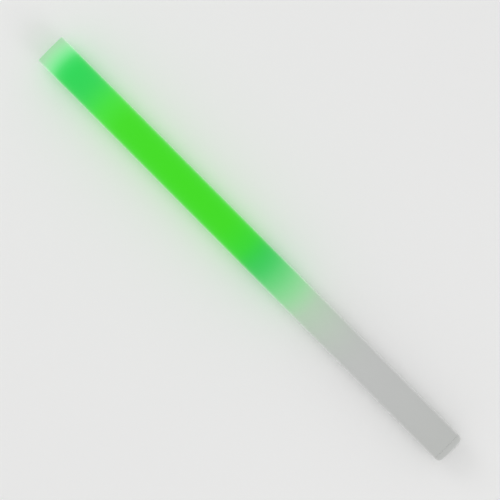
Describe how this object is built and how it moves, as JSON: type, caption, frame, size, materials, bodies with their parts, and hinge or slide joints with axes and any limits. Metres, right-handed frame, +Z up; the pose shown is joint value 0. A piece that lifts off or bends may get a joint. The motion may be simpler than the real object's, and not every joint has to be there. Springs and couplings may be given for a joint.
{
  "type": "traffic baton light",
  "caption": "Straight milky tube baton that glows green over its upper half, with battery cells in the grip and a push button in a screw-off tail collar.",
  "frame": {"origin": "on the surface that the baton lies on, under the middle of its length; the tube's axis is 16 mm above it", "axes": "+X along the baton towards its lit head, +Z up from the surface that it lies on"},
  "size_m": [0.5398, 0.032, 0.032],
  "materials": {
    "milky_plastic": "satin",
    "diffuser_plastic": "satin",
    "white_plastic": "matte",
    "grey_plastic": "matte",
    "black_plastic": "matte",
    "clear_plastic": "gloss",
    "foam": "matte",
    "board": "satin",
    "board_green": "satin",
    "led_case": "satin",
    "led_window": "gloss",
    "component_black": "matte",
    "capacitor_metal": "satin",
    "contact_metal": "gloss",
    "spring_steel": "satin",
    "screw_steel": "satin",
    "cell_steel": "satin",
    "cell_sleeve": "gloss",
    "seal_rubber": "matte",
    "lead_red": "satin",
    "lead_black": "satin"
  },
  "bodies": {
    "barrel": {"lens_tube": "milky_plastic", "head_plug": "milky_plastic", "head_cushion": "foam", "diffuser_tube": "diffuser_plastic", "led_board": "board", "led_packages": "led_case", "led_windows": "led_window", "led_resistors": "component_black", "board_rings": "clear_plastic", "light_bulkhead": "grey_plastic", "control_tray": "white_plastic", "tray_screws": "screw_steel", "control_board": "board_green", "control_chip": "component_black", "chip_legs": "contact_metal", "inductor": "component_black", "capacitors": "capacitor_metal", "control_resistors": "component_black", "battery_tube": "black_plastic", "return_strip": "contact_metal", "front_contact": "contact_metal", "cell_1": "cell_steel", "cell_2": "cell_steel", "cell_3": "cell_steel", "cell_sleeves": "cell_sleeve", "grip_liner": "white_plastic", "tail_bush": "white_plastic", "battery_lead": "lead_red", "return_lead": "lead_black", "led_lead_left": "lead_red", "led_lead_right": "lead_black"},
    "switch_carrier": {"switch_housing": "black_plastic", "housing_seal": "seal_rubber", "switch_body": "black_plastic", "switch_board": "board_green", "switch_pins": "contact_metal", "nose_cap": "black_plastic", "tail_contact": "contact_metal", "tail_spring": "spring_steel", "return_leaf": "contact_metal"},
    "collar": {"tail_collar": "milky_plastic", "collar_gasket": "seal_rubber", "retaining_ring": "spring_steel"},
    "button": {"button_cap": "milky_plastic", "button_spring": "spring_steel"},
    "plunger": {"switch_plunger": "white_plastic"}
  },
  "joints": [
    {"name": "carrier_slide", "type": "slide", "parent": "barrel", "child": "switch_carrier", "axis": [-1, 0, 0], "range_m": [0, 0.014]},
    {"name": "collar_turn", "type": "hinge", "parent": "switch_carrier", "child": "collar", "pos_m": [-0.26, 0, 0.016], "axis": [-1, 0, 0], "range_deg": [0, 720]},
    {"name": "button_press", "type": "slide", "parent": "switch_carrier", "child": "button", "axis": [1, 0, 0], "range_m": [0, 0.0015], "stiffness_N_per_m": 600, "deforming": ["button_spring"]},
    {"name": "plunger_press", "type": "slide", "parent": "switch_carrier", "child": "plunger", "axis": [1, 0, 0], "range_m": [0, 0.0015]}
  ],
  "couplings": [
    {"joint": "carrier_slide", "follows": "collar_turn", "m_per_rad": 0.001114},
    {"joint": "plunger_press", "follows": "button_press", "ratio": 1}
  ]
}
